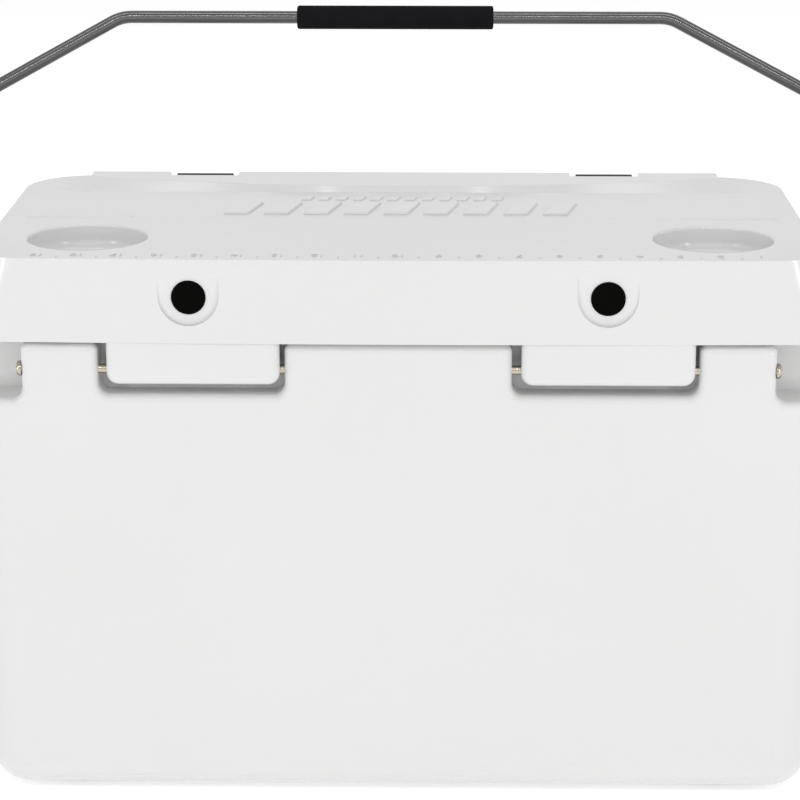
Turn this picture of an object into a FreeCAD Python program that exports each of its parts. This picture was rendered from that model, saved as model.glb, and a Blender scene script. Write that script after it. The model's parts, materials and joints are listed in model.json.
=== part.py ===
import FreeCAD, Part
import math
import os
import re
import Sketcher
from FreeCAD import Placement, Rotation, Vector

# Cooler chest: a rotomoulded tub and lid with rubber latches and a steel bail handle.
# Frame: +Z up, origin on the ground under the middle of the tub.
# The hinge side faces +Y, the latch side faces -Y.

SIZES = {
    # tub outside
    "foot_height": 4.0,
    "tub_top": 314.0,
    "tub_half_x": 277.0,
    "tub_half_y": 136.0,
    "tub_draft": 0.8,
    "tub_corner": 25.0,
    "tub_base_round": 24.0,
    "tub_edge_round": 5.0,
    # tub inside
    "inner_half_x": 237.0,
    "inner_half_y": 96.0,
    "inner_corner": 24.0,
    "inner_floor": 46.0,
    "inner_draft": 1.6,
    "inner_floor_round": 16.0,
    "skin": 4.5,
    "boss_radius": 9.0,
    # lid
    "lid_bottom": 316.0,
    "lid_top": 369.0,
    "lid_half_x": 283.0,
    "lid_half_y": 142.0,
    "lid_block_half_x": 295.0,
    "lid_top_half_x": 267.0,
    "lid_draft": 5.5,
    "lid_back_bow": 5.0,
    "lid_corner_back": 30.0,
    "lid_corner_front": 46.0,
    "lid_edge_round": 2.5,
    "lid_top_round": 7.0,
    "rim_rise": 4.0,
    "rim_back": 79.0,
    "rim_end_back": 112.0,
    "rim_half_x": 225.0,
    "lid_plug_half_x": 231.0,
    "lid_plug_half_y": 90.0,
    "lid_plug_drop": 12.0,
    "lid_foam_half_x": 261.0,
    "lid_foam_half_y": 130.0,
    "gasket_half_x": 246.0,
    "gasket_half_y": 105.0,
    "gasket_width": 6.0,
    "gasket_bottom": 314.3,
    "gasket_top": 319.5,
    # cup holders and the crease across the lid
    "cup_radius": 39.0,
    "cup_depth": 18.0,
    "cup_x": 203.4,
    "cup_y": 71.0,
    "cup_floor_round": 9.0,
    "cup_lip_round": 1.5,
    "crease_y": 8.0,
    "crease_inner_x": 95.0,
    "crease_outer_x": 252.0,
    "crease_radius": 6.0,
    "crease_rise": 0.8,
    # hinge
    "hinge_y": 129.5,
    "hinge_z": 296.5,
    "hinge_x": 131.65,
    "tab_width": 110.0,
    "tab_thick": 20.0,
    "tab_back": 139.5,
    "tab_bottom": 288.0,
    "tab_shift": 1.5,
    "tab_corner": 7.5,
    "tab_round": 4.5,
    "recess_width": 118.6,
    "recess_back": 117.0,
    "recess_floor": 280.6,
    "recess_corner": 7.0,
    "hinge_pin_radius": 3.0,
    "hinge_pin_inner_x": 62.0,
    "hinge_head_radius": 5.0,
    "hinge_head_height": 3.5,
    "running_gap": 0.05,
    "notch_x": 240.0,
    "notch_y": 104.0,
    "notch_floor": 277.0,
    # foam fill plugs
    "plug_radius": 11.0,
    "plug_x": 132.0,
    "plug_z": 345.0,
    "plug_recess_half": 19.25,
    "plug_recess_z": 346.2,
    "plug_recess_y": 137.0,
    "plug_depth": 7.0,
    "plug_rise": 1.4,
    "plug_round": 1.3,
    "base_plug_x": 120.0,
    # latches
    "latch_x": 144.3,
    "latch_notch_width": 50.0,
    "latch_notch_y": 118.0,
    "latch_pin_y": 131.5,
    "latch_pin_z": 362.6,
    "latch_pin_radius": 2.5,
    "latch_pin_length": 66.0,
    "latch_width": 40.4,
    "latch_eye_radius": 9.0,
    "latch_neck": 14.0,
    "latch_tail_round": 8.0,
    "keeper_top": 281.0,
    "keeper_bottom": 268.0,
    "keeper_front": 125.5,
    "keeper_recess_y": 112.0,
    "keeper_recess_width": 58.0,
    "keeper_recess_floor": 214.0,
    "keeper_slot": 17.0,
    # handle
    "pivot_z": 244.6,
    "seat_x": 273.8,
    "bracket_width": 46.0,
    "bracket_height": 76.0,
    "bracket_thick": 10.0,
    "bracket_corner": 12.0,
    "bracket_screw_rise": 27.0,
    "insert_radius": 4.0,
    "insert_length": 12.0,
    "screw_radius": 2.5,
    "screw_head_radius": 4.75,
    "screw_head_height": 2.8,
    "screw_seat_depth": 3.0,
    "hub_radius": 12.0,
    "hub_height": 4.0,
    "washer_thick": 0.8,
    "washer_radius": 10.5,
    "washer_play": 0.1,
    "pivot_sink": 2.0,
    "eye_radius": 13.0,
    "eye_thick": 6.8,
    "eye_x": 292.1,
    "pivot_radius": 4.0,
    "pivot_head_radius": 8.0,
    "pivot_head_height": 4.5,
    "rod_radius": 4.5,
    "bail_length": 272.6,
    "bail_lean": 28.0,
    "bail_bar_half": 195.0,
    "bail_shoulder_x": 304.0,
    "bail_shoulder_length": 209.0,
    "bail_bend": 26.0,
    "bail_bar_shift": 6.4,
    "bail_shoulder_shift": 3.5,
    "bail_foot_x": 292.9,
    "bail_foot_length": 11.6,
    "grip_length": 139.4,
    "grip_radius": 8.3,
    "grip_round": 1.6,
    # feet
    "foot_x": 215.0,
    "foot_y": 84.0,
    "foot_radius": 17.0,
    "foot_screw_radius": 2.0,
    "foot_screw_head_radius": 4.0,
    "foot_screw_length": 14.0,
    # shared by several pieces
    "small_round": 2.0,
    "overcut": 1.0,
    "beyond": 400.0,
}

SIDES = (("left", -1), ("right", 1))

doc = FreeCAD.newDocument("cooler_chest")
sheet = doc.addObject("Spreadsheet::Sheet", "Sizes")
for row, (name, value) in enumerate(SIZES.items(), start=1):
    sheet.set("A%d" % row, name)
    sheet.set("B%d" % row, "%g" % value)
    sheet.setAlias("B%d" % row, name)
doc.recompute()


def size(text):
    """The number that a sum such as "hinge_x - 0.5*tab_width" comes to."""
    total = 0.0
    sign = 1
    for word in text.split():
        if word in ("+", "-"):
            sign = 1 if word == "+" else -1
            continue
        product = 1.0
        for factor in word.split("*"):
            product *= SIZES[factor] if factor in SIZES else float(factor)
        total += sign * product
        sign = 1
    return total


def formula(text):
    """The same sum written with the sheet's names."""
    return re.sub(r"[a-z][a-z_]*", lambda match: "Sizes." + match.group(0), text)


def bind(thing, field, text):
    thing.setExpression(field, formula(text))


def put(thing, x, y, z, rotation=Rotation()):
    """Places a primitive at a point given as three sums."""
    thing.Placement = Placement(Vector(size(x), size(y), size(z)), rotation)
    for axis, text in (("x", x), ("y", y), ("z", z)):
        bind(thing, ".Placement.Base." + axis, text)


def new_body(label):
    body = doc.addObject("PartDesign::Body", label + "_body")
    body.Label = label
    return body


def new_sketch(body, name, role, offset):
    sketch = body.newObject("Sketcher::SketchObject", name)
    plane = next(f for f in body.Origin.OriginFeatures if f.Role == role)
    sketch.AttachmentSupport = [(plane, "")]
    sketch.MapMode = "FlatFace"
    sketch.AttachmentOffset = Placement(Vector(0, 0, size(offset)), Rotation())
    bind(sketch, ".AttachmentOffset.Base.z", offset)
    return sketch


def fix_point(sketch, geometry, end, x, y):
    """Holds a sketch point at two sums measured from the origin."""
    for kind, text in (("DistanceX", x), ("DistanceY", y)):
        index = sketch.addConstraint(Sketcher.Constraint(kind, -1, 1, geometry, end, size(text)))
        bind(sketch, "Constraints[%d]" % index, text)


def polygon(sketch, corners):
    """A closed outline of straight lines through corners given as sums."""
    points = [Vector(size(x), size(y), 0) for x, y in corners]
    ids = []
    for start, end in zip(points, points[1:] + points[:1]):
        ids.append(sketch.addGeometry(Part.LineSegment(start, end)))
    for here, after in zip(ids, ids[1:] + ids[:1]):
        sketch.addConstraint(Sketcher.Constraint("Coincident", here, 2, after, 1))
    for line, (x, y) in zip(ids, corners):
        fix_point(sketch, line, 1, x, y)


def rectangle(sketch, half_x, half_y):
    polygon(
        sketch,
        [
            (negated(half_x), negated(half_y)),
            (half_x, negated(half_y)),
            (half_x, half_y),
            (negated(half_x), half_y),
        ],
    )


def pad(body, sketch, name, length, taper="0", down=False):
    feature = body.newObject("PartDesign::Pad", name)
    feature.Profile = sketch
    feature.Length = size(length)
    bind(feature, "Length", length)
    feature.TaperAngle = size(taper)
    bind(feature, "TaperAngle", taper)
    feature.Reversed = down
    sketch.Visibility = False
    doc.recompute()
    return feature


def pocket(body, sketch, name, length, taper="0"):
    before = body.Shape.Volume
    feature = body.newObject("PartDesign::Pocket", name)
    feature.Profile = sketch
    feature.Length = size(length)
    bind(feature, "Length", length)
    feature.TaperAngle = size(taper)
    bind(feature, "TaperAngle", taper)
    doc.recompute()
    if body.Shape.Volume > before - 1:
        raise RuntimeError(name + " removed nothing")
    return feature


def negated(text):
    """The same sum with every sign turned."""
    first, *rest = text.split()
    turned = [{"+": "-", "-": "+"}.get(word, word) for word in rest]
    return " ".join(["-1*" + first] + turned)


def sided(sign, low, high):
    """A pair of sums along X, mirrored for the left side."""
    return (low, high) if sign > 0 else (negated(high), negated(low))


def span(thing, field, low, high):
    setattr(thing, field, size(high) - size(low))
    bind(thing, field, "(%s) - (%s)" % (high, low))


def shape_box(thing, x, y, z):
    for field, (low, high) in (("Length", x), ("Width", y), ("Height", z)):
        span(thing, field, low, high)
    put(thing, x[0], y[0], z[0])


def box(body, name, kind, x, y, z):
    """A box added to or cut from a body, each of x, y, z a pair of sums."""
    feature = body.newObject("PartDesign::%sBox" % kind, name)
    shape_box(feature, x, y, z)
    doc.recompute()
    return feature


ALONG_X = Rotation(Vector(0, 1, 0), 90)
ALONG_Y = Rotation(Vector(1, 0, 0), -90)
UPRIGHT = Rotation()


def cylinder(body, name, kind, radius, length, x, y, z, rotation=UPRIGHT):
    """A cylinder added to or cut from a body, starting at the given point."""
    feature = body.newObject("PartDesign::%sCylinder" % kind, name)
    feature.Radius = size(radius)
    feature.Height = size(length)
    bind(feature, "Radius", radius)
    bind(feature, "Height", length)
    put(feature, x, y, z, rotation)
    doc.recompute()
    return feature


def edges(shape, test):
    """Names of the edges whose bounding box passes a test."""
    return ["Edge%d" % n for n, edge in enumerate(shape.Edges, start=1) if test(edge.BoundBox)]


def round_edges(body, name, radius, test):
    base = body.Tip
    names = edges(base.Shape, test)
    if not names:
        raise RuntimeError(name + " found no edges")
    feature = body.newObject("PartDesign::Fillet", name)
    feature.Base = (base, names)
    feature.Radius = size(radius)
    bind(feature, "Radius", radius)
    doc.recompute()
    if not feature.isValid() or feature.Shape.isNull() or not feature.Shape.isValid():
        raise RuntimeError(name + " failed on %d edges" % len(names))
    return feature


def near(value, target, slack=0.6):
    return abs(value - target) < slack


def flat_at(bounds, height):
    return near(bounds.ZMin, height, 0.05) and near(bounds.ZMax, height, 0.05)


def upright(bounds, low, high):
    return near(bounds.ZMin, low) and near(bounds.ZMax, high)


def combined(kind, name, things):
    thing = doc.addObject("Part::" + kind, name)
    thing.Shapes = things
    return thing


def cut(name, base, tool):
    thing = doc.addObject("Part::Cut", name)
    thing.Base = base
    thing.Tool = tool
    return thing


def group(label, things):
    """Several like solids under one label."""
    thing = doc.addObject("Part::Compound", label + "_group")
    thing.Links = things
    thing.Label = label
    return thing


def side_rod(name, radius, x, y, z):
    """A rod along X between a pair of sums."""
    thing = doc.addObject("Part::Cylinder", name)
    thing.Radius = size(radius)
    bind(thing, "Radius", radius)
    span(thing, "Height", x[0], x[1])
    put(thing, x[0], y, z, ALONG_X)
    return thing


def side_bore(body, name, radius, x, y, z):
    """A round hole along X through a body between a pair of sums."""
    feature = body.newObject("PartDesign::SubtractiveCylinder", name)
    feature.Radius = size(radius)
    bind(feature, "Radius", radius)
    span(feature, "Height", x[0], x[1])
    put(feature, x[0], y, z, ALONG_X)
    doc.recompute()
    return feature


def around(middle, width):
    """A pair of sums centred on a middle."""
    return (middle + " - 0.5*" + width, middle + " + 0.5*" + width)


# ---------------------------------------------------------------- tub

def tub_outside():
    body = new_body("tub_outside")
    outline = new_sketch(body, "tub_outline", "XY_Plane", "tub_top")
    rectangle(outline, "tub_half_x", "tub_half_y")
    pad(body, outline, "tub_block", "tub_top - foot_height", "-1*tub_draft", down=True)
    top, base = size("tub_top"), size("foot_height")
    round_edges(body, "tub_corners", "tub_corner", lambda b: upright(b, base, top))
    round_edges(body, "tub_base_edge", "tub_base_round", lambda b: flat_at(b, base))
    return body


def hollow_tub(body):
    outline = new_sketch(body, "tub_inside_outline", "XY_Plane", "tub_top")
    rectangle(outline, "inner_half_x", "inner_half_y")
    pocket(body, outline, "tub_inside", "tub_top - inner_floor", "-1*inner_draft")
    top, floor = size("tub_top"), size("inner_floor")
    inside = size("inner_half_x") + 5
    round_edges(
        body,
        "tub_inside_corners",
        "inner_corner",
        lambda b: upright(b, floor, top) and abs(b.XMax) < inside and abs(b.XMin) < inside,
    )
    round_edges(body, "tub_inside_floor", "inner_floor_round", lambda b: flat_at(b, floor))


def cut_hinge_recesses(body):
    for side, sign in SIDES:
        x = sided(sign, *around("hinge_x", "recess_width"))
        box(body, "recess_" + side, "Subtractive", x, ("recess_back", "beyond"), ("recess_floor", "beyond"))
        x = sided(sign, "notch_x", "beyond")
        box(body, "notch_" + side, "Subtractive", x, ("notch_y", "beyond"), ("notch_floor", "beyond"))
    floors = (size("recess_floor"), size("notch_floor"))
    back = size("notch_y") - 1

    def floor_corner(b):
        on_floor = any(flat_at(b, z) for z in floors)
        return on_floor and b.YLength > 10 and b.XLength < 1 and b.YMin > back

    round_edges(body, "recess_corners", "recess_corner", floor_corner)


def soften_tub(body):
    """Rounds the rim, the rear edges of the hinge recesses and the mouths of the notches."""
    rear = size("tub_half_y") - 3
    low = size("notch_floor") - 10
    top = size("tub_top")
    wall = size("notch_y")
    opening_x = size("inner_half_x") + 5
    opening_y = size("inner_half_y") + 5

    def outer_edge(b):
        reach_x = max(abs(b.XMin), abs(b.XMax))
        reach_y = max(abs(b.YMin), abs(b.YMax))
        on_rim = flat_at(b, top) and (reach_x > opening_x or reach_y > opening_y)
        on_back = b.YMin > rear and b.ZMin > low and b.ZMax < top + 1
        on_wall = near(b.YMin, wall, 0.1) and near(b.YMax, wall, 0.1)
        notch_mouth = on_wall and reach_x > opening_x and b.ZMin > low and b.ZLength > 10
        return on_rim or on_back or notch_mouth

    round_edges(body, "tub_soft_edges", "tub_edge_round", outer_edge)


def cut_latch_recesses(body):
    back = ("-1*beyond", "-1*keeper_recess_y")
    keeper = ("keeper_bottom - overcut", "keeper_top + overcut")
    for side, sign in SIDES:
        wide = sided(sign, *around("latch_x", "keeper_recess_width"))
        slot = sided(sign, *around("latch_x", "keeper_slot"))
        box(body, "latch_channel_" + side, "Subtractive", wide, back, ("keeper_top", "beyond"))
        box(body, "latch_pocket_" + side, "Subtractive", wide, back, ("keeper_recess_floor", "keeper_bottom"))
        box(body, "keeper_face_" + side, "Subtractive", wide, ("-1*beyond", "-1*keeper_front"), keeper)
        box(body, "keeper_slot_" + side, "Subtractive", slot, back, keeper)
    floor = size("keeper_recess_floor")
    inner = -size("keeper_recess_y") - 2
    round_edges(
        body,
        "pocket_floor",
        "recess_corner",
        lambda b: flat_at(b, floor) and b.YLength < 1 and b.YMin > inner,
    )


def cut_bracket_seats(body):
    top = size("pivot_z") + size("bracket_height") / 2
    bottom = size("pivot_z") - size("bracket_height") / 2
    for side, sign in SIDES:
        x = sided(sign, "seat_x", "beyond")
        box(
            body,
            "bracket_seat_" + side,
            "Subtractive",
            x,
            around("0", "bracket_width"),
            around("pivot_z", "bracket_height"),
        )
    half = size("bracket_width") / 2
    round_edges(
        body,
        "seat_corners",
        "bracket_corner",
        lambda b: 1 < b.XLength < 5
        and near(abs(b.YMin), half, 0.1)
        and b.YLength < 0.1
        and (near(b.ZMin, top, 0.1) or near(b.ZMin, bottom, 0.1))
        and b.ZLength < 0.1,
    )


def bore_tub(body):
    for side, sign in SIDES:
        x = sided(sign, "hinge_pin_inner_x", "notch_x + overcut")
        side_bore(body, "hinge_bore_" + side, "hinge_pin_radius", x, "hinge_y", "hinge_z")
        x = sided(sign, "seat_x - insert_length", "seat_x + overcut")
        for level, z in (("low", "pivot_z - bracket_screw_rise"), ("high", "pivot_z + bracket_screw_rise")):
            side_bore(body, "insert_bore_%s_%s" % (side, level), "insert_radius", x, "0", z)
        for end, y in (("front", "-1*foot_y"), ("back", "foot_y")):
            x = "foot_x" if sign > 0 else "-1*foot_x"
            name = "foot_bore_%s_%s" % (side, end)
            cylinder(body, name, "Subtractive", "foot_screw_radius", "foot_screw_length", x, y, "foot_height")
        x = "base_plug_x" if sign > 0 else "-1*base_plug_x"
        cylinder(body, "base_fill_" + side, "Subtractive", "plug_radius", "plug_depth", x, "0", "foot_height")


def tub_foam():
    """The foam between the skins, one skin's thickness from every face."""
    body = new_body("tub_foam_outside")
    outline = new_sketch(body, "foam_outline", "XY_Plane", "tub_top - skin")
    rectangle(outline, "tub_half_x - skin", "tub_half_y - skin")
    length = "tub_top - 2*skin - foot_height"
    pad(body, outline, "foam_block", length, "-1*tub_draft", down=True)
    top, base = size("tub_top - skin"), size("foot_height + skin")
    round_edges(body, "foam_corners", "tub_corner - skin", lambda b: upright(b, base, top))
    round_edges(body, "foam_base_edge", "tub_base_round - skin", lambda b: flat_at(b, base))
    inner = new_sketch(body, "foam_inner_outline", "XY_Plane", "tub_top - skin")
    rectangle(inner, "inner_half_x + skin", "inner_half_y + skin")
    pocket(body, inner, "foam_inside", "tub_top - inner_floor", "-1*inner_draft")
    floor = top - size("tub_top - inner_floor")
    inside = size("inner_half_x") + 10
    round_edges(
        body,
        "foam_inside_corners",
        "inner_corner + skin",
        lambda b: upright(b, floor, top) and abs(b.XMax) < inside and abs(b.XMin) < inside,
    )
    across = ("-1*beyond", "beyond")
    behind, above = ("notch_y - skin", "beyond"), ("notch_floor - skin", "beyond")
    box(body, "foam_hinge_gap", "Subtractive", across, behind, above)
    for side, sign in SIDES:
        low, high = around("latch_x", "keeper_recess_width")
        wide = sided(sign, low + " - skin", high + " + skin")
        box(
            body,
            "foam_latch_gap_" + side,
            "Subtractive",
            wide,
            ("-1*beyond", "-1*keeper_recess_y + skin"),
            ("keeper_recess_floor - skin", "beyond"),
        )
        reach = sided(sign, "seat_x - insert_length - skin", "beyond")
        for level, z in (("low", "pivot_z - bracket_screw_rise"), ("high", "pivot_z + bracket_screw_rise")):
            side_bore(body, "foam_boss_%s_%s" % (side, level), "boss_radius", reach, "0", z)
        side_x = "foot_x" if sign > 0 else "-1*foot_x"
        for end, y in (("front", "-1*foot_y"), ("back", "foot_y")):
            name = "foam_foot_boss_%s_%s" % (side, end)
            depth = "foot_screw_length + 2*skin"
            cylinder(body, name, "Subtractive", "boss_radius", depth, side_x, y, "foot_height")
    body.Label = "tub_foam"
    return body


def make_tub():
    body = tub_outside()
    hollow_tub(body)
    cut_hinge_recesses(body)
    soften_tub(body)
    cut_latch_recesses(body)
    cut_bracket_seats(body)
    bore_tub(body)
    foam = tub_foam()
    shell = cut("tub_shell_cut", body, foam)
    shell.Label = "tub_shell"
    return [shell, foam]


# ---------------------------------------------------------------- lid

def lid_outside():
    body = new_body("lid_outside")
    sketch = new_sketch(body, "lid_outline", "XY_Plane", "lid_bottom")
    half_x, half_y, bow = size("lid_block_half_x"), size("lid_half_y"), size("lid_back_bow")
    corners = [
        Vector(-half_x, half_y - bow, 0),
        Vector(-half_x, -half_y, 0),
        Vector(half_x, -half_y, 0),
        Vector(half_x, half_y - bow, 0),
    ]
    names = [
        ("-1*lid_block_half_x", "lid_half_y - lid_back_bow"),
        ("-1*lid_block_half_x", "-1*lid_half_y"),
        ("lid_block_half_x", "-1*lid_half_y"),
        ("lid_block_half_x", "lid_half_y - lid_back_bow"),
    ]
    lines = [sketch.addGeometry(Part.LineSegment(a, b)) for a, b in zip(corners, corners[1:])]
    arc = sketch.addGeometry(Part.Arc(corners[3], Vector(0, half_y, 0), corners[0]))
    for here, after in zip(lines, lines[1:]):
        sketch.addConstraint(Sketcher.Constraint("Coincident", here, 2, after, 1))
    sketch.addConstraint(Sketcher.Constraint("Coincident", lines[-1], 2, arc, 1))
    sketch.addConstraint(Sketcher.Constraint("Coincident", arc, 2, lines[0], 1))
    for line, (x, y) in zip(lines, names):
        fix_point(sketch, line, 1, x, y)
    fix_point(sketch, lines[-1], 2, *names[-1])
    radius = (half_x ** 2 + bow ** 2) / (2 * bow)
    index = sketch.addConstraint(Sketcher.Constraint("Radius", arc, radius))
    rule = "(Sizes.lid_block_half_x ^ 2 + Sizes.lid_back_bow ^ 2) / (2 * Sizes.lid_back_bow)"
    sketch.setExpression("Constraints[%d]" % index, rule)
    pad(body, sketch, "lid_block", "lid_top + rim_rise - lid_bottom", "-1*lid_draft")
    slope_lid_ends(body)
    low, high = size("lid_bottom"), size("lid_top + rim_rise")
    round_edges(body, "lid_front_corners", "lid_corner_front", lambda b: upright(b, low, high) and b.YMax < 0)
    round_edges(
        body,
        "lid_back_corners",
        "lid_corner_back",
        lambda b: upright(b, low, high) and b.YMin > 0,
    )
    return body


def slope_lid_ends(body):
    """Trims each end of the block to a face that leans in towards the top."""
    for side, sign in SIDES:
        wedge = new_sketch(body, "lid_end_" + side, "XZ_Plane", "0")
        corners = [
            ("lid_half_x", "lid_bottom"),
            ("lid_top_half_x", "lid_top + rim_rise"),
            ("beyond", "lid_top + rim_rise"),
            ("beyond", "lid_bottom"),
        ]
        if sign < 0:
            corners = [(negated(x), z) for x, z in corners]
        polygon(wedge, corners)
        trim = pocket(body, wedge, "lid_end_trim_" + side, "beyond")
        trim.SideType = "Symmetric"
        doc.recompute()


def lower_lid_top(body):
    """Leaves the raised front rim and takes the rest of the top down."""
    sketch = new_sketch(body, "rim_outline", "XY_Plane", "lid_top + rim_rise")
    x, near_y, far_y = size("rim_half_x"), -size("rim_back"), -size("rim_end_back")
    names = [
        ("-1*rim_half_x", "-1*rim_end_back"),
        ("-1*rim_half_x", "-1*beyond"),
        ("-1*beyond", "-1*beyond"),
        ("-1*beyond", "beyond"),
        ("beyond", "beyond"),
        ("beyond", "-1*beyond"),
        ("rim_half_x", "-1*beyond"),
        ("rim_half_x", "-1*rim_end_back"),
    ]
    points = [Vector(size(a), size(b), 0) for a, b in names]
    lines = [sketch.addGeometry(Part.LineSegment(a, b)) for a, b in zip(points, points[1:])]
    arc = sketch.addGeometry(Part.Arc(points[-1], Vector(0, near_y, 0), points[0]))
    for here, after in zip(lines, lines[1:]):
        sketch.addConstraint(Sketcher.Constraint("Coincident", here, 2, after, 1))
    sketch.addConstraint(Sketcher.Constraint("Coincident", lines[-1], 2, arc, 1))
    sketch.addConstraint(Sketcher.Constraint("Coincident", arc, 2, lines[0], 1))
    for line, (a, b) in zip(lines, names):
        fix_point(sketch, line, 1, a, b)
    fix_point(sketch, lines[-1], 2, *names[-1])
    sag = near_y - far_y
    index = sketch.addConstraint(Sketcher.Constraint("Radius", arc, (x ** 2 + sag ** 2) / (2 * sag)))
    rule = "(Sizes.rim_half_x ^ 2 + (Sizes.rim_end_back - Sizes.rim_back) ^ 2)"
    sketch.setExpression("Constraints[%d]" % index, rule + " / (2 * (Sizes.rim_end_back - Sizes.rim_back))")
    pocket(body, sketch, "lid_top_lowered", "rim_rise")


def add_lid_tabs(body):
    for side, sign in SIDES:
        # both tabs sit a little to the left in their recesses
        low = "hinge_x - 0.5*tab_width - tab_shift" if sign > 0 else "-1*hinge_x - 0.5*tab_width - tab_shift"
        high = "hinge_x + 0.5*tab_width - tab_shift" if sign > 0 else "-1*hinge_x + 0.5*tab_width - tab_shift"
        box(
            body,
            "tab_" + side,
            "Additive",
            (low, high),
            ("tab_back - tab_thick", "tab_back"),
            ("tab_bottom", "lid_bottom"),
        )
    bottom = size("tab_bottom")
    round_edges(body, "tab_corners", "tab_corner", lambda b: flat_at(b, bottom) and b.XLength < 0.1)
    low, inner = size("lid_bottom") - 6, size("tab_back - tab_thick") - 1
    round_edges(body, "tab_rounds", "tab_round", lambda b: b.ZMin < low and b.YLength < 0.1 and b.YMin > inner)


def add_lid_plug(body):
    outline = new_sketch(body, "lid_plug_outline", "XY_Plane", "lid_bottom + overcut")
    rectangle(outline, "lid_plug_half_x", "lid_plug_half_y")
    pad(body, outline, "lid_plug", "lid_plug_drop + overcut", down=True)
    low, high = size("lid_bottom - lid_plug_drop"), size("lid_bottom")
    radius = "inner_corner - 2*small_round"
    round_edges(body, "lid_plug_corners", radius, lambda b: upright(b, low, high) and b.XLength < 0.1)
    round_edges(body, "lid_plug_edge", "2*lid_edge_round", lambda b: flat_at(b, low))


def cut_lid_front(body):
    for side, sign in SIDES:
        x = sided(sign, *around("latch_x", "latch_notch_width"))
        through = ("lid_bottom - overcut", "beyond")
        box(body, "latch_notch_" + side, "Subtractive", x, ("-1*beyond", "-1*latch_notch_y"), through)
        x = sided(sign, *around("latch_x", "latch_pin_length"))
        side_bore(body, "latch_pin_bore_" + side, "latch_pin_radius", x, "-1*latch_pin_y", "latch_pin_z")


def cut_lid_back(body):
    for side, sign in SIDES:
        x = sided(sign, "plug_x - plug_recess_half", "plug_x + plug_recess_half")
        middle = "plug_x" if sign > 0 else "-1*plug_x"
        behind, above = ("plug_recess_y", "beyond"), ("plug_recess_z", "beyond")
        box(body, "plug_recess_" + side, "Subtractive", x, behind, above)
        cylinder(
            body,
            "plug_recess_round_" + side,
            "Subtractive",
            "plug_recess_half",
            "beyond",
            middle,
            "plug_recess_y",
            "plug_recess_z",
            ALONG_Y,
        )
        cylinder(
            body,
            "fill_bore_" + side,
            "Subtractive",
            "plug_radius",
            "plug_depth + beyond",
            middle,
            "plug_recess_y - plug_depth",
            "plug_z",
            ALONG_Y,
        )
        x = sided(sign, *around("hinge_x", "recess_width"))
        side_bore(body, "tab_bore_" + side, "hinge_pin_radius + running_gap", x, "hinge_y", "hinge_z")


def cut_cup_holders(body):
    for side, sign in SIDES:
        x = "cup_x" if sign > 0 else "-1*cup_x"
        cylinder(body, "cup_" + side, "Subtractive", "cup_radius", "beyond", x, "cup_y", "lid_top - cup_depth")
    floor, top = size("lid_top - cup_depth"), size("lid_top")
    round_edges(body, "cup_floors", "cup_floor_round", lambda b: flat_at(b, floor))
    round_edges(
        body,
        "cup_lips",
        "cup_lip_round",
        lambda b: flat_at(b, top) and near(b.XLength, 2 * size("cup_radius"), 1),
    )


def add_crease(body):
    """A low ridge on each side that dies away towards the middle."""
    for side, sign in SIDES:
        cone = body.newObject("PartDesign::AdditiveCone", "crease_" + side)
        inner = ("Radius1", "crease_radius - crease_rise")
        outer = ("Radius2", "crease_radius")
        for field, text in (inner, outer):
            setattr(cone, field, size(text))
            bind(cone, field, text)
        span(cone, "Height", "crease_inner_x", "crease_outer_x")
        turn = ALONG_X if sign > 0 else Rotation(Vector(0, 1, 0), -90)
        x = "crease_inner_x" if sign > 0 else "-1*crease_inner_x"
        put(cone, x, "crease_y", "lid_top + crease_rise - crease_radius", turn)
    doc.recompute()


def soften_lid(body):
    high = size("lid_top + rim_rise")
    round_edges(body, "lid_top_edge", "lid_top_round", lambda b: flat_at(b, high))


def make_lid():
    body = lid_outside()
    soften_lid(body)
    lower_lid_top(body)
    add_lid_plug(body)
    add_lid_tabs(body)
    cut_cup_holders(body)
    add_crease(body)
    cut_lid_front(body)
    cut_lid_back(body)
    foam = lid_foam()
    gasket = lid_gasket()
    shell = cut("lid_shell_cut", body, combined("MultiFuse", "lid_hollows", [foam, gasket]))
    shell.Label = "lid_shell"
    return [shell, foam, gasket, lid_fill_plugs(), latch_pins()]


def lid_foam():
    body = new_body("lid_foam")
    sketch = new_sketch(body, "lid_foam_outline", "XY_Plane", "lid_bottom + skin")
    rectangle(sketch, "lid_foam_half_x", "lid_foam_half_y")
    pad(body, sketch, "lid_foam_slab", "lid_top - lid_bottom - 2*skin")
    low, high = size("lid_bottom + skin"), size("lid_top - skin")
    round_edges(body, "lid_foam_corners", "lid_corner_front", lambda b: upright(b, low, high))
    lower = new_sketch(body, "lid_foam_lower_outline", "XY_Plane", "lid_bottom + skin")
    rectangle(lower, "lid_plug_half_x - skin", "lid_plug_half_y - skin")
    pad(body, lower, "lid_foam_lower", "lid_plug_drop", down=True)
    for side, sign in SIDES:
        x = "cup_x" if sign > 0 else "-1*cup_x"
        z = "lid_top - cup_depth - skin"
        radius, depth = "cup_radius + skin", "cup_depth + skin"
        cylinder(body, "foam_cup_" + side, "Subtractive", radius, depth, x, "cup_y", z)
        x = sided(sign, "latch_x - 0.5*latch_pin_length - skin", "latch_x + 0.5*latch_pin_length + skin")
        y = ("-1*beyond", "-1*latch_notch_y + skin")
        box(body, "foam_notch_" + side, "Subtractive", x, y, ("lid_bottom", "lid_top"))
    return body


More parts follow.
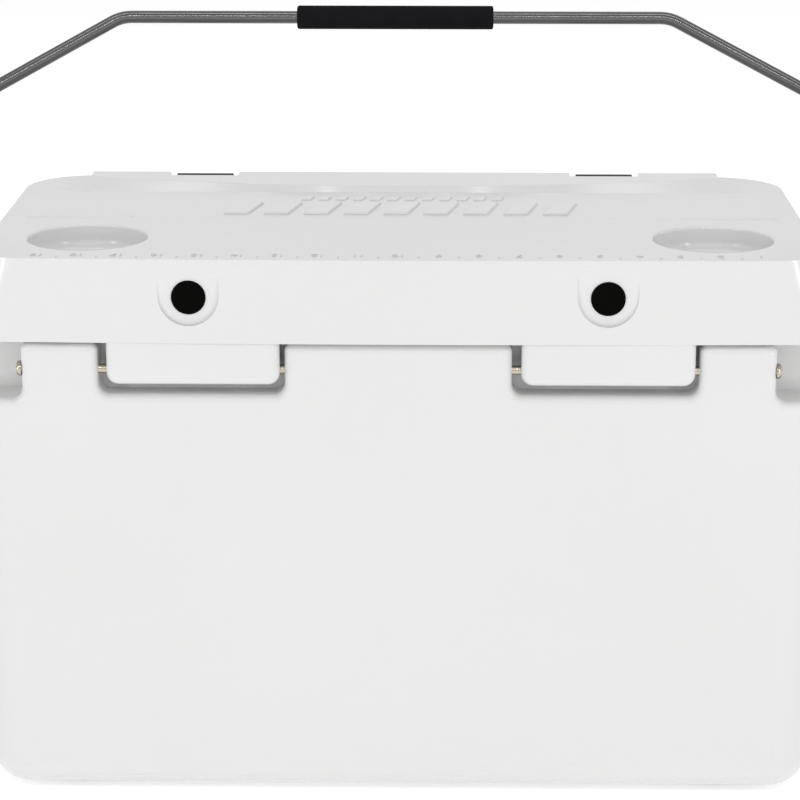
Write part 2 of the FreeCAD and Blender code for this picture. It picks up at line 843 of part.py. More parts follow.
def lid_gasket():
    body = new_body("lid_gasket")
    outer = new_sketch(body, "gasket_outline", "XY_Plane", "gasket_bottom")
    rectangle(outer, "gasket_half_x + 0.5*gasket_width", "gasket_half_y + 0.5*gasket_width")
    pad(body, outer, "gasket_slab", "gasket_top - gasket_bottom")
    low, high = size("gasket_bottom"), size("gasket_top")
    inner = new_sketch(body, "gasket_inner_outline", "XY_Plane", "gasket_top")
    rectangle(inner, "gasket_half_x - 0.5*gasket_width", "gasket_half_y - 0.5*gasket_width")
    pocket(body, inner, "gasket_opening", "gasket_top - gasket_bottom + overcut")
    inside = size("gasket_half_x - 0.5*gasket_width")
    depth = size("gasket_half_y - 0.5*gasket_width")
    round_edges(
        body,
        "gasket_inner_corners",
        "inner_corner",
        lambda b: upright(b, low, high) and near(abs(b.XMin), inside, 0.1) and near(abs(b.YMin), depth, 0.1),
    )
    outside = inside + size("gasket_width")
    round_edges(
        body,
        "gasket_corners",
        "inner_corner + gasket_width",
        lambda b: upright(b, low, high) and near(abs(b.XMin), outside, 0.1) and b.XLength < 0.1,
    )
    return body


def both_sides(label, make):
    """Builds the same loose piece on each side and groups them."""
    return group(label, [make(side, sign) for side, sign in SIDES])


def lid_fill_plugs():
    def one(side, sign):
        body = new_body("lid_fill_plug_" + side)
        x = "plug_x" if sign > 0 else "-1*plug_x"
        y = "plug_recess_y - plug_depth"
        length = "plug_depth + plug_rise"
        cylinder(body, "lid_plug_disc_" + side, "Additive", "plug_radius", length, x, y, "plug_z", ALONG_Y)
        front = size("plug_recess_y + plug_rise")
        round_edges(body, "lid_plug_dome_" + side, "plug_round", lambda b: b.YMin > front - 0.1)
        return body

    return both_sides("lid_fill_plugs", one)


def latch_pins():
    def one(side, sign):
        x = sided(sign, *around("latch_x", "latch_pin_length"))
        return side_rod("latch_pin_" + side, "latch_pin_radius", x, "-1*latch_pin_y", "latch_pin_z")

    return both_sides("latch_pins", one)


# ---------------------------------------------------------------- latches

# side outline of the strap and its finger tail: place along Y, then height
LATCH_OUTLINE = [
    ("-1*latch_pin_y - 4.5", "latch_pin_z"),
    ("-1*latch_pin_y - 4.5", "keeper_bottom - 5"),
    ("-1*latch_pin_y - 8.5", "keeper_bottom - 9"),
    ("-1*latch_pin_y - 8.5", "keeper_bottom - 14"),
    ("-1*latch_pin_y - 5.5", "keeper_bottom - 20"),
    ("-1*latch_pin_y - 5.5", "keeper_bottom - 33"),
    ("-1*latch_pin_y - 10.5", "keeper_bottom - 46"),
    ("-1*latch_pin_y - 5.5", "keeper_bottom - 47.5"),
    ("-1*latch_pin_y - 1.5", "keeper_bottom - 35"),
    ("-1*latch_pin_y + 2.5", "keeper_bottom - 22"),
    ("-1*latch_pin_y + 4.5", "keeper_bottom - 8"),
    ("-1*latch_pin_y + 4.5", "latch_pin_z"),
]


def make_latch(side, sign):
    body = new_body("latch_" + side)
    middle = "latch_x" if sign > 0 else "-1*latch_x"
    sketch = new_sketch(body, "latch_outline_" + side, "YZ_Plane", middle)
    polygon(sketch, LATCH_OUTLINE)
    strap = pad(body, sketch, "latch_strap_" + side, "latch_width")
    strap.SideType = "Symmetric"
    doc.recompute()
    x = sided(sign, *around("latch_x", "latch_width"))
    eye = body.newObject("PartDesign::AdditiveCylinder", "latch_eye_" + side)
    eye.Radius = size("latch_eye_radius")
    bind(eye, "Radius", "latch_eye_radius")
    span(eye, "Height", x[0], x[1])
    put(eye, x[0], "-1*latch_pin_y", "latch_pin_z", ALONG_X)
    doc.recompute()
    neck = ("keeper_bottom - 1.5", "keeper_top + 2")
    for flank, low, high in (
        ("inner", "latch_x - latch_width", "latch_x - 0.5*latch_neck"),
        ("outer", "latch_x + 0.5*latch_neck", "latch_x + latch_width"),
    ):
        name = "latch_neck_%s_%s" % (side, flank)
        box(body, name, "Subtractive", sided(sign, low, high), ("-1*beyond", "0"), neck)
    low, high = size(neck[0]), size(neck[1])
    round_edges(
        body,
        "latch_neck_rounds_" + side,
        "small_round",
        lambda b: b.XLength < 0.1 and b.YLength > 5 and (flat_at(b, low) or flat_at(b, high)),
    )
    tail = size("keeper_bottom") - 45
    name = "latch_tail_corners_" + side
    round_edges(body, name, "latch_tail_round", lambda b: b.ZMax < tail and b.XLength < 0.1)
    x = sided(sign, *around("latch_x", "latch_notch_width"))
    side_bore(body, "latch_bore_" + side, "latch_pin_radius + running_gap", x, "-1*latch_pin_y", "latch_pin_z")
    return body


# ---------------------------------------------------------------- hinge pins

def make_hinge_pin(side, sign):
    body = new_body("hinge_pin_" + side)
    x = sided(sign, "hinge_pin_inner_x", "notch_x + 0.5")
    shank = body.newObject("PartDesign::AdditiveCylinder", "hinge_shank_" + side)
    shank.Radius = size("hinge_pin_radius")
    bind(shank, "Radius", "hinge_pin_radius")
    span(shank, "Height", x[0], x[1])
    put(shank, x[0], "hinge_y", "hinge_z", ALONG_X)
    x = sided(sign, "notch_x", "notch_x + hinge_head_height")
    head = body.newObject("PartDesign::AdditiveCylinder", "hinge_head_" + side)
    head.Radius = size("hinge_head_radius")
    bind(head, "Radius", "hinge_head_radius")
    span(head, "Height", x[0], x[1])
    put(head, x[0], "hinge_y", "hinge_z", ALONG_X)
    doc.recompute()
    outer = size("notch_x + hinge_head_height")
    round_edges(
        body,
        "hinge_head_round_" + side,
        "hinge_head_height - 0.8",
        lambda b: near(max(abs(b.XMin), abs(b.XMax)), outer, 0.01) and b.XLength < 0.01,
    )
    return body


# ---------------------------------------------------------------- handle

def on_pivot(thing):
    thing.Placement = Placement(Vector(0, 0, size("pivot_z")), Rotation(Vector(1, 0, 0), size("bail_lean")))
    bind(thing, ".Placement.Base.z", "pivot_z")


def bent_path(sketch, corners, radius):
    """Straight lines through the corners with an arc of one radius at each bend."""
    start = corners[0]
    for here, after in zip(corners[1:], corners[2:]):
        before = (start - here).normalize()
        beyond = (after - here).normalize()
        angle = before.getAngle(beyond)
        reach = radius / math.tan(angle / 2)
        first = here + before * reach
        last = here + beyond * reach
        middle = here + (before + beyond).normalize() * (radius / math.sin(angle / 2) - radius)
        sketch.addGeometry(Part.LineSegment(start, first))
        sketch.addGeometry(Part.Arc(first, middle, last))
        start = last
    sketch.addGeometry(Part.LineSegment(start, corners[-1]))


def make_bail():
    body = new_body("handle_bail")
    path = new_sketch(body, "bail_path", "XZ_Plane", "0")
    right = [
        Vector(size("bail_foot_x"), size("bail_foot_length"), 0),
        Vector(size("bail_shoulder_x"), size("bail_shoulder_length"), 0),
        Vector(size("bail_bar_half"), size("bail_length"), 0),
    ]
    left = [Vector(-p.x, p.y, 0) for p in reversed(right)]
    corners = right + left
    # the loop leans a little to one side, more at the bar than at the shoulders
    lean = ["0", "bail_shoulder_shift", "bail_bar_shift", "bail_bar_shift", "bail_shoulder_shift", "0"]
    corners = [corner + Vector(size(shift), 0, 0) for corner, shift in zip(corners, lean)]
    bent_path(path, corners, size("bail_bend"))
    section = new_sketch(body, "bail_section", "XY_Plane", "bail_foot_length")
    middle = Vector(size("bail_foot_x"), 0, 0)
    circle = section.addGeometry(Part.Circle(middle, Vector(0, 0, 1), size("rod_radius")))
    index = section.addConstraint(Sketcher.Constraint("Radius", circle, size("rod_radius")))
    bind(section, "Constraints[%d]" % index, "rod_radius")
    doc.recompute()
    pipe = body.newObject("PartDesign::AdditivePipe", "bail_rod")
    pipe.Profile = section
    pipe.Spine = path
    doc.recompute()
    for side, sign in SIDES:
        x = sided(sign, *around("eye_x", "eye_thick"))
        eye = body.newObject("PartDesign::AdditiveCylinder", "eye_" + side)
        eye.Radius = size("eye_radius")
        bind(eye, "Radius", "eye_radius")
        span(eye, "Height", x[0], x[1])
        put(eye, x[0], "0", "0", ALONG_X)
        doc.recompute()
        side_bore(body, "eye_bore_" + side, "pivot_radius + running_gap", x, "0", "0")
    on_pivot(body)
    return body


def make_grip():
    body = new_body("handle_grip")
    sleeve = body.newObject("PartDesign::AdditiveCylinder", "grip_sleeve")
    sleeve.Radius = size("grip_radius")
    sleeve.Height = size("grip_length")
    bind(sleeve, "Radius", "grip_radius")
    bind(sleeve, "Height", "grip_length")
    low, high = around("bail_bar_shift", "grip_length")
    put(sleeve, low, "0", "bail_length", ALONG_X)
    doc.recompute()
    round_edges(body, "grip_ends", "grip_round", lambda b: b.XLength < 0.1)
    x = (low + " - overcut", high + " + overcut")
    side_bore(body, "grip_bore", "rod_radius", x, "0", "bail_length")
    on_pivot(body)
    return body


def make_bracket(side, sign):
    body = new_body("handle_bracket_" + side)
    x = sided(sign, "seat_x", "seat_x + bracket_thick")
    box(body, "plate_" + side, "Additive", x, around("0", "bracket_width"), around("pivot_z", "bracket_height"))
    round_edges(body, "plate_corners_" + side, "bracket_corner", lambda b: b.XLength > 5)
    outer = size("seat_x + bracket_thick")
    round_edges(
        body,
        "plate_edge_" + side,
        "small_round",
        lambda b: near(max(abs(b.XMin), abs(b.XMax)), outer, 0.01) and b.XLength < 0.01,
    )
    hub = body.newObject("PartDesign::AdditiveCylinder", "hub_" + side)
    hub.Radius = size("hub_radius")
    bind(hub, "Radius", "hub_radius")
    x = sided(sign, "seat_x + bracket_thick - overcut", "seat_x + bracket_thick + hub_height")
    span(hub, "Height", x[0], x[1])
    put(hub, x[0], "0", "pivot_z", ALONG_X)
    doc.recompute()
    x = sided(sign, "seat_x + pivot_sink", "beyond")
    side_bore(body, "pivot_bore_" + side, "pivot_radius", x, "0", "pivot_z")
    for level, z in (("low", "pivot_z - bracket_screw_rise"), ("high", "pivot_z + bracket_screw_rise")):
        x = sided(sign, "seat_x - overcut", "beyond")
        side_bore(body, "screw_bore_%s_%s" % (side, level), "screw_radius", x, "0", z)
        x = sided(sign, "seat_x + bracket_thick - screw_seat_depth", "beyond")
        side_bore(body, "screw_seat_%s_%s" % (side, level), "screw_head_radius + 0.25", x, "0", z)
    return body


def ring(name, outer_radius, inner_radius, x, y, z):
    outer = side_rod(name + "_outer", outer_radius, x, y, z)
    inner = side_rod(name + "_inner", inner_radius, x, y, z)
    return cut(name, outer, inner)


def bracket_fasteners():
    screws, inserts = [], []
    for side, sign in SIDES:
        for level, z in (("low", "pivot_z - bracket_screw_rise"), ("high", "pivot_z + bracket_screw_rise")):
            name = "%s_%s" % (side, level)
            seat = "seat_x + bracket_thick - screw_seat_depth"
            head_x = sided(sign, seat, seat + " + screw_head_height")
            shank_x = sided(sign, "seat_x - insert_length + overcut", seat)
            head = side_rod("screw_head_" + name, "screw_head_radius", head_x, "0", z)
            shank = side_rod("screw_shank_" + name, "screw_radius", shank_x, "0", z)
            screws.append(combined("MultiFuse", "screw_" + name, [head, shank]))
            insert_x = sided(sign, "seat_x - insert_length", "seat_x")
            inserts.append(ring("insert_" + name, "insert_radius", "screw_radius", insert_x, "0", z))
    return [group("bracket_screws", screws), group("bracket_inserts", inserts)]


def pivot_fasteners():
    bolts, washers = [], []
    hub = "seat_x + bracket_thick + hub_height"
    face = "eye_x + 0.5*eye_thick + washer_play"
    head = face + " + washer_thick"
    for side, sign in SIDES:
        shank_x = sided(sign, "seat_x + pivot_sink", head)
        head_x = sided(sign, head, head + " + pivot_head_height")
        shank = side_rod("pivot_shank_" + side, "pivot_radius", shank_x, "0", "pivot_z")
        cap = side_rod("pivot_head_" + side, "pivot_head_radius", head_x, "0", "pivot_z")
        bolts.append(combined("MultiFuse", "pivot_bolt_" + side, [cap, shank]))
        for place, low in (("inner", hub), ("outer", face)):
            x = sided(sign, low, low + " + washer_thick")
            name = "washer_%s_%s" % (side, place)
            washers.append(ring(name, "washer_radius", "pivot_radius", x, "0", "pivot_z"))
    return [group("pivot_bolts", bolts), group("pivot_washers", washers)]


# ---------------------------------------------------------------- base

def upright_rod(name, radius, z, x, y):
    thing = doc.addObject("Part::Cylinder", name)
    thing.Radius = size(radius)
    bind(thing, "Radius", radius)
    span(thing, "Height", z[0], z[1])
    put(thing, x, y, z[0])
    return thing


def base_pieces():
    feet, screws, plugs = [], [], []
    for side, sign in SIDES:
        x = "foot_x" if sign > 0 else "-1*foot_x"
        for end, y in (("front", "-1*foot_y"), ("back", "foot_y")):
            name = "%s_%s" % (side, end)
            disc = upright_rod("foot_disc_" + name, "foot_radius", ("0", "foot_height"), x, y)
            through = ("-1*overcut", "foot_height + overcut")
            hole = upright_rod("foot_hole_" + name, "foot_screw_radius", through, x, y)
            sunk = ("-1*overcut", "0.6*foot_height")
            seat = upright_rod("foot_seat_" + name, "foot_screw_head_radius + 0.5", sunk, x, y)
            feet.append(cut("foot_" + name, disc, combined("MultiFuse", "foot_hollow_" + name, [hole, seat])))
            sunk = ("0.2*foot_height", "0.6*foot_height")
            head = upright_rod("foot_head_" + name, "foot_screw_head_radius", sunk, x, y)
            top = "foot_height + foot_screw_length - overcut"
            shank = upright_rod("foot_shank_" + name, "foot_screw_radius", ("0.6*foot_height", top), x, y)
            screws.append(combined("MultiFuse", "foot_screw_" + name, [head, shank]))
        x = "base_plug_x" if sign > 0 else "-1*base_plug_x"
        z = ("foot_height + 0.4", "foot_height + skin")
        plugs.append(upright_rod("base_plug_" + side, "plug_radius", z, x, "0"))
    return [group("feet", feet), group("foot_screws", screws), group("tub_fill_plugs", plugs)]


nodes = make_tub() + make_lid()
nodes += [make_latch(side, sign) for side, sign in SIDES]
nodes += [make_hinge_pin(side, sign) for side, sign in SIDES]
nodes += [make_bracket(side, sign) for side, sign in SIDES]
nodes += [make_bail(), make_grip()]
nodes += bracket_fasteners() + pivot_fasteners() + base_pieces()
doc.recompute()

for thing in doc.Objects:
    if "Invalid" in thing.State or "Error" in thing.State:
        raise RuntimeError("%s is %s" % (thing.Name, thing.State))
os.makedirs("parts", exist_ok=True)
for node in nodes:
    shape = node.Shape
    if shape.isNull() or not shape.isValid():
        raise RuntimeError(node.Label + " has no valid shape")
    shape.exportStep("parts/%s.step" % node.Label)
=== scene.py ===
import bpy
import bmesh
import json
import math
from mathutils import Matrix, Vector


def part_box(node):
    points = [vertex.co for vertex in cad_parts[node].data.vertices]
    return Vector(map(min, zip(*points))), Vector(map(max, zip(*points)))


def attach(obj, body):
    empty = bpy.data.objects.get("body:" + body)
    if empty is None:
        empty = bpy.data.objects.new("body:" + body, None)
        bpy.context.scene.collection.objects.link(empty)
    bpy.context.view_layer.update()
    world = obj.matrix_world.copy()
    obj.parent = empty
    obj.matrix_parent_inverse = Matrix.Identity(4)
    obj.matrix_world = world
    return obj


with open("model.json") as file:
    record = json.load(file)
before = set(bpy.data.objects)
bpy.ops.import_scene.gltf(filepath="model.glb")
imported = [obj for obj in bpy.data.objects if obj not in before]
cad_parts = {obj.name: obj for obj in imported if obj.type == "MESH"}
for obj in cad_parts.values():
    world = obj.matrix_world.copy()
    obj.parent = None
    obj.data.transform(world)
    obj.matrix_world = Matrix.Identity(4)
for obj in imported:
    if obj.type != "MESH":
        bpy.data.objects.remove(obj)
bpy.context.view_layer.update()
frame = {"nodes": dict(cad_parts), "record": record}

MM = 0.001
NODES = frame["nodes"]
HINGE_PINS = ("hinge_pin_left", "hinge_pin_right")

# The lid's top: flat, with a raised rim along the latch side
LID_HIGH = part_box("lid_shell")[1]
RIM_RISE = 4 * MM
LID_TOP = LID_HIGH.z - RIM_RISE
SUNK = 0.4 * MM

# Inch ruler along the lid's rear edge
INCH = 25.4 * MM
RULER_COUNT = 19
RULER_Y = LID_HIGH.y - 19 * MM
NUMERAL_HEIGHT = 6.5 * MM
NUMERAL_DEPTH = 0.35 * MM
NUMERAL_LIFT = 0.1 * MM
CAP_SHARE = 0.72
DOT_SHIFT_Y = 5 * MM
DOT_FOOT_RADIUS = 1.0 * MM
DOT_TOP_RADIUS = 0.7 * MM
DOT_DEPTH = 0.9 * MM

# Ramp up to the raised rim: its foot is straight, its crest is bowed
RIM_HALF_X = 225 * MM
RIM_MIDDLE_Y = -79 * MM
RIM_END_Y = -112 * MM
RIM_GAP = 0.2 * MM
RAMP_FOOT_Y = -77 * MM
RAMP_HALF_X = 250 * MM
RAMP_STEPS = 96
WING_BACK = 7 * MM
WING_END_SHARE = 0.06
WING_FADE = 1.5
SHARP_ANGLE = math.radians(3)

# Slanted bars in the middle of the lid
BAR_SLANT = 0.22
BAR_SUNK = 0.5 * MM
FLANK_SHARE = 0.7
BAR_ROWS = (
    {"count": 9, "pitch": 27 * MM, "y": -20 * MM, "length": 36 * MM, "width": 17 * MM, "height": 1.3 * MM},
    {"count": 12, "pitch": 12 * MM, "y": -54 * MM, "length": 10 * MM, "width": 7 * MM, "height": 0.9 * MM},
)

# Stage, in metres
FLOOR_HALF = 6.0
CHEST_MIDDLE = (0.0, 0.0, 0.25)
CAMERA_PLACE = (-0.027, 1.724, 0.7354)
CAMERA_DOWN = math.radians(16.06)
CAMERA_TURN = math.radians(180 + 0.93)


# ------------------------------------------------------------ node helpers

def new_material(name, color, roughness, metallic=0.0, specular=0.5):
    material = bpy.data.materials.new(name)
    material.use_nodes = True
    shader = material.node_tree.nodes["Principled BSDF"]
    shader.inputs["Base Color"].default_value = (*color, 1.0)
    shader.inputs["Roughness"].default_value = roughness
    shader.inputs["Metallic"].default_value = metallic
    shader.inputs["Specular IOR Level"].default_value = specular
    return material, material.node_tree, shader


def object_space(tree, stretch=(1.0, 1.0, 1.0)):
    """Object coordinates in metres, with an optional stretch per axis."""
    coordinates = tree.nodes.new("ShaderNodeTexCoord")
    mapping = tree.nodes.new("ShaderNodeMapping")
    mapping.inputs["Scale"].default_value = stretch
    tree.links.new(coordinates.outputs["Object"], mapping.inputs["Vector"])
    return mapping.outputs["Vector"]


def noise(tree, vector, scale, detail=2.0, rough=0.5):
    node = tree.nodes.new("ShaderNodeTexNoise")
    node.inputs["Scale"].default_value = scale
    node.inputs["Detail"].default_value = detail
    node.inputs["Roughness"].default_value = rough
    tree.links.new(vector, node.inputs["Vector"])
    return node.outputs["Fac"]


def ramp(tree, value, low, high, low_color, high_color):
    node = tree.nodes.new("ShaderNodeValToRGB")
    first, last = node.color_ramp.elements
    first.position, last.position = low, high
    first.color = (*low_color, 1.0)
    last.color = (*high_color, 1.0)
    tree.links.new(value, node.inputs["Fac"])
    return node.outputs["Color"]


def remap(tree, value, low, high):
    """Spreads the middle of a noise over the values from low to high."""
    node = tree.nodes.new("ShaderNodeMapRange")
    node.inputs["From Min"].default_value = 0.3
    node.inputs["From Max"].default_value = 0.7
    node.inputs["To Min"].default_value = low
    node.inputs["To Max"].default_value = high
    tree.links.new(value, node.inputs["Value"])
    return node.outputs["Result"]


def bump(tree, shader, height, distance, strength, under=None):
    node = tree.nodes.new("ShaderNodeBump")
    node.inputs["Strength"].default_value = strength
    node.inputs["Distance"].default_value = distance
    tree.links.new(height, node.inputs["Height"])
    if under is not None:
        tree.links.new(under, node.inputs["Normal"])
    tree.links.new(node.outputs["Normal"], shader.inputs["Normal"])
    return node.outputs["Normal"]


# ------------------------------------------------------------ materials

def make_shell_plastic(name, shade):
    """White rotomoulded polyethylene: glossy, faintly waxy, with a soft orange peel."""
    darker = (shade - 0.006, shade - 0.006, shade - 0.009)
    lighter = (shade + 0.006, shade + 0.006, shade + 0.004)
    material, tree, shader = new_material(name, darker, roughness=0.22, specular=0.6)
    space = object_space(tree)
    cloud = noise(tree, space, scale=5.0)
    tone = ramp(tree, cloud, 0.3, 0.7, darker, lighter)
    tree.links.new(tone, shader.inputs["Base Color"])
    gloss = noise(tree, space, scale=30.0)
    tree.links.new(remap(tree, gloss, 0.19, 0.23), shader.inputs["Roughness"])
    wave = noise(tree, space, scale=14.0, detail=1.0)
    peel = noise(tree, space, scale=380.0)
    first = bump(tree, shader, wave, distance=0.5 * MM, strength=0.12)
    bump(tree, shader, peel, distance=0.05 * MM, strength=0.12, under=first)
    return material


def make_steel(name, color):
    """Stainless rod with fine drawing lines."""
    material, tree, shader = new_material(name, color, roughness=0.16, metallic=1.0)
    space = object_space(tree, stretch=(40.0, 900.0, 900.0))
    lines = noise(tree, space, scale=3.0, detail=3.0)
    tree.links.new(remap(tree, lines, 0.12, 0.2), shader.inputs["Roughness"])
    bump(tree, shader, lines, distance=0.03 * MM, strength=0.3)
    return material


def make_brass():
    """Turned brass with fine rings."""
    material, tree, shader = new_material("brass", (0.72, 0.52, 0.24), roughness=0.3, metallic=1.0)
    space = object_space(tree, stretch=(1200.0, 60.0, 60.0))
    lines = noise(tree, space, scale=2.0, detail=3.0)
    tree.links.new(remap(tree, lines, 0.22, 0.4), shader.inputs["Roughness"])
    bump(tree, shader, lines, distance=0.03 * MM, strength=0.3)
    return material


def make_dull(name, color, rough, grain, depth, strength=0.6, specular=0.5):
    """Rubber, nylon or foam with an even fine grain; rough holds its least and greatest roughness."""
    material, tree, shader = new_material(name, color, roughness=rough[0], specular=specular)
    space = object_space(tree)
    fine = noise(tree, space, scale=grain, detail=3.0, rough=0.6)
    tree.links.new(remap(tree, fine, *rough), shader.inputs["Roughness"])
    shade = noise(tree, space, scale=40.0, detail=3.0)
    lighter = tuple(channel * 1.35 for channel in color)
    tree.links.new(ramp(tree, shade, 0.35, 0.7, color, lighter), shader.inputs["Base Color"])
    bump(tree, shader, fine, distance=depth, strength=strength)
    return material


def make_floor_white():
    """A matt white floor that glows a little, so that it stays white to its far edge."""
    material, tree, shader = new_material("floor_white", (0.80, 0.80, 0.80), roughness=0.8, specular=0.1)
    fine = noise(tree, object_space(tree), scale=90.0, detail=3.0)
    tone = ramp(tree, fine, 0.3, 0.7, (0.795, 0.795, 0.795), (0.805, 0.805, 0.805))
    tree.links.new(tone, shader.inputs["Base Color"])
    bump(tree, shader, fine, distance=0.1 * MM, strength=0.1)
    shader.inputs["Emission Color"].default_value = (1.0, 1.0, 1.0, 1.0)
    shader.inputs["Emission Strength"].default_value = 0.40
    return material


SHELL = make_shell_plastic("shell_white", 0.65)
# A darker copy of the shell plastic: painted shade on the raised numbers, the dots and the bars' sides
SHELL_PAINTED_SHADE = make_shell_plastic("shell_painted_shade", 0.54)
PIN_STEEL = make_steel("pin_steel", (0.50, 0.45, 0.38))

FINISH = {
    "shell": SHELL,
    "steel": make_steel("steel", (0.15, 0.15, 0.153)),
    "brass": make_brass(),
    "nylon": make_dull(
        "nylon_black", (0.022, 0.022, 0.022), rough=(0.42, 0.55), grain=900.0, depth=0.05 * MM, specular=0.25
    ),
    "rubber": make_dull(
        "rubber_black", (0.020, 0.020, 0.020), rough=(0.5, 0.65), grain=700.0, depth=0.06 * MM, specular=0.25
    ),
    "seal": make_dull(
        "seal_black", (0.03, 0.03, 0.03), rough=(0.6, 0.75), grain=500.0, depth=0.06 * MM
    ),
    "plug": make_dull(
        "plug_black", (0.0008, 0.0008, 0.0006), rough=(0.1, 0.14), grain=300.0, depth=0.02 * MM,
        strength=0.2, specular=0.03
    ),
    "grip": make_dull(
        "grip_foam", (0.0065, 0.0062, 0.0075), rough=(0.8, 0.95), grain=1100.0, depth=0.25 * MM,
        strength=0.9, specular=0.06
    ),
    "foam": make_dull(
        "foam_cream", (0.70, 0.62, 0.42), rough=(0.8, 0.95), grain=600.0, depth=0.3 * MM, strength=0.8
    ),
}


def paint_nodes():
    slot_of = {entry["node"]: entry["material_slot"] for entry in frame["record"]["subparts"]}
    for name, node in NODES.items():
        node.data.materials.clear()
        node.data.materials.append(FINISH[slot_of[name]])
    for name in HINGE_PINS:
        NODES[name].data.materials[0] = PIN_STEEL


# ------------------------------------------------------------ mesh helpers

def mesh_object(name, bm, material):
    mesh = bpy.data.meshes.new(name)
    bm.to_mesh(mesh)
    bm.free()
    thing = bpy.data.objects.new(name, mesh)
    bpy.context.scene.collection.objects.link(thing)
    mesh.materials.append(material)
    return thing


def lid_piece(name, bm, material):
    """A piece of the lid's own plastic that rides on the lid."""
    piece = mesh_object(name, bm, material)
    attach(piece, "lid")
    return piece


def merge(target, source, place):
    """Moves one bmesh into another at a place."""
    source.transform(Matrix.Translation(place))
    mesh = bpy.data.meshes.new("part")
    source.to_mesh(mesh)
    target.from_mesh(mesh)
    bpy.data.meshes.remove(mesh)
    source.free()


def numeral_mesh(number):
    """A raised number, as a bmesh centred on the origin."""
    curve = bpy.data.curves.new("numeral", "FONT")
    curve.body = str(number)
    curve.size = NUMERAL_HEIGHT / CAP_SHARE
    curve.align_x = "CENTER"
    curve.align_y = "CENTER"
    curve.extrude = NUMERAL_DEPTH
    curve.resolution_u = 3
    holder = bpy.data.objects.new("numeral", curve)
    bpy.context.scene.collection.objects.link(holder)
    bpy.context.view_layer.update()
    mesh = bpy.data.meshes.new_from_object(holder)
    bm = bmesh.new()
    bm.from_mesh(mesh)
    bpy.data.objects.remove(holder)
    bpy.data.curves.remove(curve)
    bpy.data.meshes.remove(mesh)
    return bm


def dot_mesh():
    """A small round stud, as a bmesh centred on the origin."""
    bm = bmesh.new()
    bmesh.ops.create_cone(
        bm, cap_ends=True, segments=16, radius1=DOT_FOOT_RADIUS, radius2=DOT_TOP_RADIUS, depth=DOT_DEPTH
    )
    return bm


# ------------------------------------------------------------ lid relief

def centred(index, count, pitch):
    """Where one of a row of evenly spaced things lies, measured from the row's middle."""
    return (index - (count - 1) / 2) * pitch


def make_ruler():
    """Raised inch numbers along the back edge, read from the latch side, with a dot between each two, all
    coloured a darker white as painted shade.
    """
    bm = bmesh.new()
    for index in range(RULER_COUNT):
        x = centred(index, RULER_COUNT, INCH)
        merge(bm, numeral_mesh(index + 1), (x, RULER_Y, LID_TOP + NUMERAL_LIFT))
        if index + 1 < RULER_COUNT:
            merge(bm, dot_mesh(), (x + INCH / 2, RULER_Y + DOT_SHIFT_Y, LID_TOP))
    # The numbers and dots take the darker white copy of the shell plastic: painted shade.
    lid_piece("lid_ruler", bm, SHELL_PAINTED_SHADE)


def bar_mesh(length, width, height):
    """A raised slanted bar: its sides take the second material, a darker white as painted shade, its top the
    first.
    """
    bm = bmesh.new()
    flank = height * FLANK_SHARE
    layers = []
    for z, inset in ((-BAR_SUNK, 0.0), (height - flank, 0.0), (height, flank)):
        ring = []
        for side_x, side_y in ((-1, -1), (1, -1), (1, 1), (-1, 1)):
            y = side_y * (length / 2 - inset)
            x = side_x * (width / 2 - inset) + BAR_SLANT * y
            ring.append(bm.verts.new((x, y, z)))
        layers.append(ring)
    for low, high in zip(layers, layers[1:]):
        for i in range(4):
            side = bm.faces.new((low[i], low[(i + 1) % 4], high[(i + 1) % 4], high[i]))
            side.material_index = 1
    bm.faces.new(layers[-1])
    bm.faces.new(reversed(layers[0]))
    return bm


def make_relief():
    """Two rows of plain slanted bars in the middle of the lid."""
    bm = bmesh.new()
    for row in BAR_ROWS:
        for index in range(row["count"]):
            x = centred(index, row["count"], row["pitch"])
            bar = bar_mesh(row["length"], row["width"], row["height"])
            merge(bm, bar, (x, row["y"], LID_TOP))
    relief = lid_piece("lid_relief", bm, SHELL)
    # The bars' sides take the darker white copy of the shell plastic as painted shade.
    relief.data.materials.append(SHELL_PAINTED_SHADE)


def rim_edge(x):
    """The ramp's crest and back edge along Y, and its height: it thins out past the rim's ends."""
    share = min(abs(x) / RIM_HALF_X, 1.0)
    past = max(abs(x) - RIM_HALF_X, 0.0) / (RAMP_HALF_X - RIM_HALF_X)
    crest_y = RIM_MIDDLE_Y + (RIM_END_Y - RIM_MIDDLE_Y) * share ** 2 - RIM_GAP
    back_y = crest_y - WING_BACK * min(4 * past, 1.0)
    rise = RIM_RISE * (WING_END_SHARE + (1.0 - WING_END_SHARE) * (1.0 - past) ** WING_FADE)
    return crest_y, back_y, rise


def make_rim_ramp():
    """The slope from the flat top up to the rim: steep in the middle, long at the ends."""
    bm = bmesh.new()
    rows = []
    for index in range(RAMP_STEPS + 1):
        x = RAMP_HALF_X * (2 * index / RAMP_STEPS - 1)
        crest_y, back_y, rise = rim_edge(x)
        heel = (x, RAMP_FOOT_Y, LID_TOP - SUNK)
        foot = (x, RAMP_FOOT_Y, LID_TOP)
        crest = (x, crest_y, LID_TOP + rise)
        under = (x, back_y, LID_TOP - SUNK)
        rows.append([bm.verts.new(point) for point in (heel, foot, crest, under)])
    for here, after in zip(rows, rows[1:]):
        for i in range(4):
            bm.faces.new((here[i], after[i], after[(i + 1) % 4], here[(i + 1) % 4]))
    bm.faces.new(rows[0])
    bm.faces.new(reversed(rows[-1]))
    bmesh.ops.recalc_face_normals(bm, faces=bm.faces)
    for face in bm.faces:
        face.smooth = True
    for edge in bm.edges:
        edge.smooth = edge.calc_face_angle(0.0) < SHARP_ANGLE
    lid_piece("lid_rim_ramp", bm, SHELL)


# ------------------------------------------------------------ stage

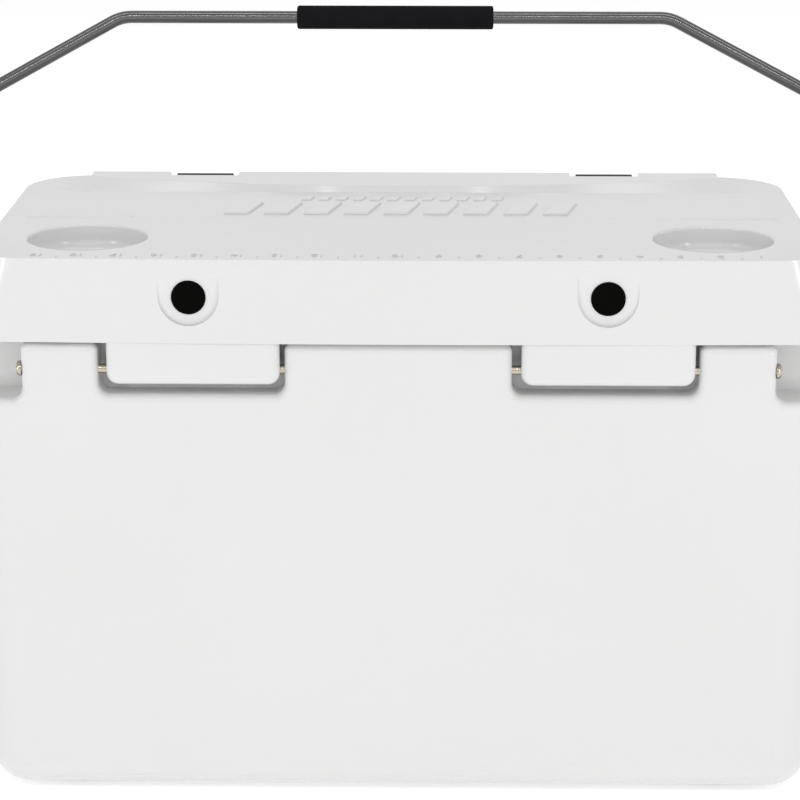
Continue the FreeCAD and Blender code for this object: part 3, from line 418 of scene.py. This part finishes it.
def make_floor():
    bm = bmesh.new()
    corners = []
    for side_x, side_y in ((-1, -1), (1, -1), (1, 1), (-1, 1)):
        corners.append(bm.verts.new((side_x * FLOOR_HALF, side_y * FLOOR_HALF, 0.0)))
    bm.faces.new(corners)
    floor = mesh_object("floor", bm, make_floor_white())


def make_world():
    """Soft white surroundings, a little brighter at the horizon than overhead."""
    world = bpy.data.worlds.new("studio")
    world.use_nodes = True
    tree = world.node_tree
    background = tree.nodes["Background"]
    coordinates = tree.nodes.new("ShaderNodeTexCoord")
    split = tree.nodes.new("ShaderNodeSeparateXYZ")
    tree.links.new(coordinates.outputs["Generated"], split.inputs["Vector"])
    shade = ramp(tree, split.outputs["Z"], 0.12, 0.7, (1.0, 1.0, 1.0), (0.66, 0.66, 0.66))
    tree.links.new(shade, background.inputs["Color"])
    background.inputs["Strength"].default_value = 0.97
    bpy.context.scene.world = world


def area_light(name, place, width, height, power):
    """A rectangular light aimed at the chest."""
    light = bpy.data.lights.new(name, "AREA")
    light.shape = "RECTANGLE"
    light.size = width
    light.size_y = height
    light.energy = power
    lamp = bpy.data.objects.new(name, light)
    bpy.context.scene.collection.objects.link(lamp)
    lamp.location = place
    aim = Vector(CHEST_MIDDLE) - Vector(place)
    lamp.rotation_euler = aim.to_track_quat("-Z", "Y").to_euler()


def make_lights():
    area_light("key_top", (0.0, 0.3, 2.6), width=2.4, height=0.3, power=9)
    area_light("hinge_side_strip", (0.0, 1.9, 1.7), width=2.4, height=0.06, power=7)
    for name, side in (("strip_left", 1), ("strip_right", -1)):
        area_light(name, (side * 1.7, 1.5, 0.8), width=0.06, height=1.2, power=7)
    area_light("latch_side_soft", (0.0, -2.4, 2.2), width=2.6, height=0.8, power=6)


def make_camera():
    """The hinge side from a little above, through a long lens."""
    camera = bpy.data.cameras.new("camera")
    camera.sensor_width = 36.0
    camera.lens = 117.0
    camera.clip_start = 0.05
    camera.clip_end = 50.0
    holder = bpy.data.objects.new("camera", camera)
    bpy.context.scene.collection.objects.link(holder)
    holder.location = CAMERA_PLACE
    holder.rotation_euler = (math.pi / 2 - CAMERA_DOWN, 0.0, CAMERA_TURN)
    bpy.context.scene.camera = holder


paint_nodes()
make_ruler()
make_relief()
make_rim_ramp()
make_floor()
make_world()
make_lights()
make_camera()
bpy.context.scene.view_settings.view_transform = "Standard"
